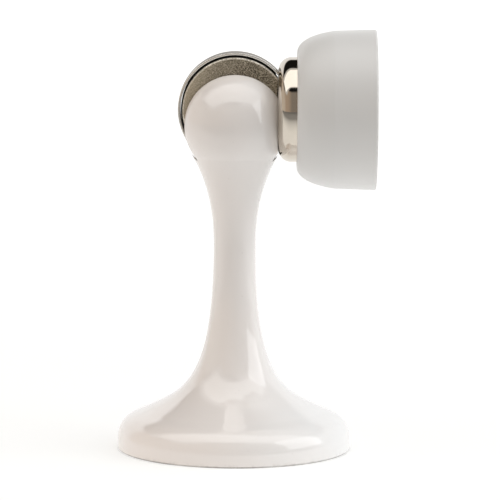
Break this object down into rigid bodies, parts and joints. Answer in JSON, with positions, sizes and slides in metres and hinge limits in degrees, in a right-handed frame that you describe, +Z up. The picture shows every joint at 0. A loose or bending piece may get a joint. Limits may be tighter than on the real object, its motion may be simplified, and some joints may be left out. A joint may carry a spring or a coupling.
{
  "type": "magnetic door stop",
  "caption": "Floor-standing magnetic door stop: a flared enamelled pedestal with a magnet pack in its round head, and a door cup with a sprung polished strike.",
  "frame": {"origin": "centre of the foot's underside, on the floor", "axes": "+Z up the pedestal, +X along the strike's axis from the pedestal towards the door, +Y to the rear"},
  "size_m": [0.0638, 0.058, 0.1047],
  "materials": {
    "gloss_enamel": "gloss",
    "satin_enamel": "satin",
    "plated_steel": "satin",
    "black_steel": "satin",
    "spring_steel": "satin",
    "blasted_nickel": "matte",
    "bright_nickel": "polished",
    "polished_nickel": "polished",
    "ferrite": "matte",
    "black_plastic": "matte",
    "black_rubber": "matte",
    "nylon": "matte"
  },
  "bodies": {
    "stand": {"stand_body": "gloss_enamel", "floor_plate": "plated_steel", "floor_stud": "plated_steel", "foot_grub_screw": "black_steel", "front_pole_plate": "blasted_nickel", "rear_pole_plate": "blasted_nickel", "magnet": "ferrite", "magnet_hoop": "bright_nickel", "magnet_spacer": "black_plastic", "pack_rivet": "plated_steel", "pack_grub_screw": "black_steel"},
    "door_cup": {"cup_shell": "satin_enamel", "door_plate": "plated_steel", "cup_grub_screw": "black_steel", "guide_bush": "nylon", "buffer_ring": "black_rubber", "plunger_spring": "spring_steel"},
    "plunger": {"plunger_rod": "plated_steel", "retaining_clip": "black_steel"},
    "strike": {"strike_cap": "polished_nickel", "cap_ring": "plated_steel"}
  },
  "joints": [
    {"name": "door_release", "type": "slide", "parent": "stand", "child": "door_cup", "axis": [1, 0, 0], "range_m": [0, 0.06]},
    {"name": "plunger_press", "type": "slide", "parent": "door_cup", "child": "plunger", "axis": [1, 0, 0], "range_m": [0, 0.0035], "stiffness_N_per_m": 1200, "springref_m": -0.002, "deforming": ["plunger_spring"]},
    {"name": "strike_spin", "type": "hinge", "parent": "plunger", "child": "strike", "pos_m": [0.014, 0, 0.0848], "axis": [1, 0, 0], "continuous": true}
  ]
}
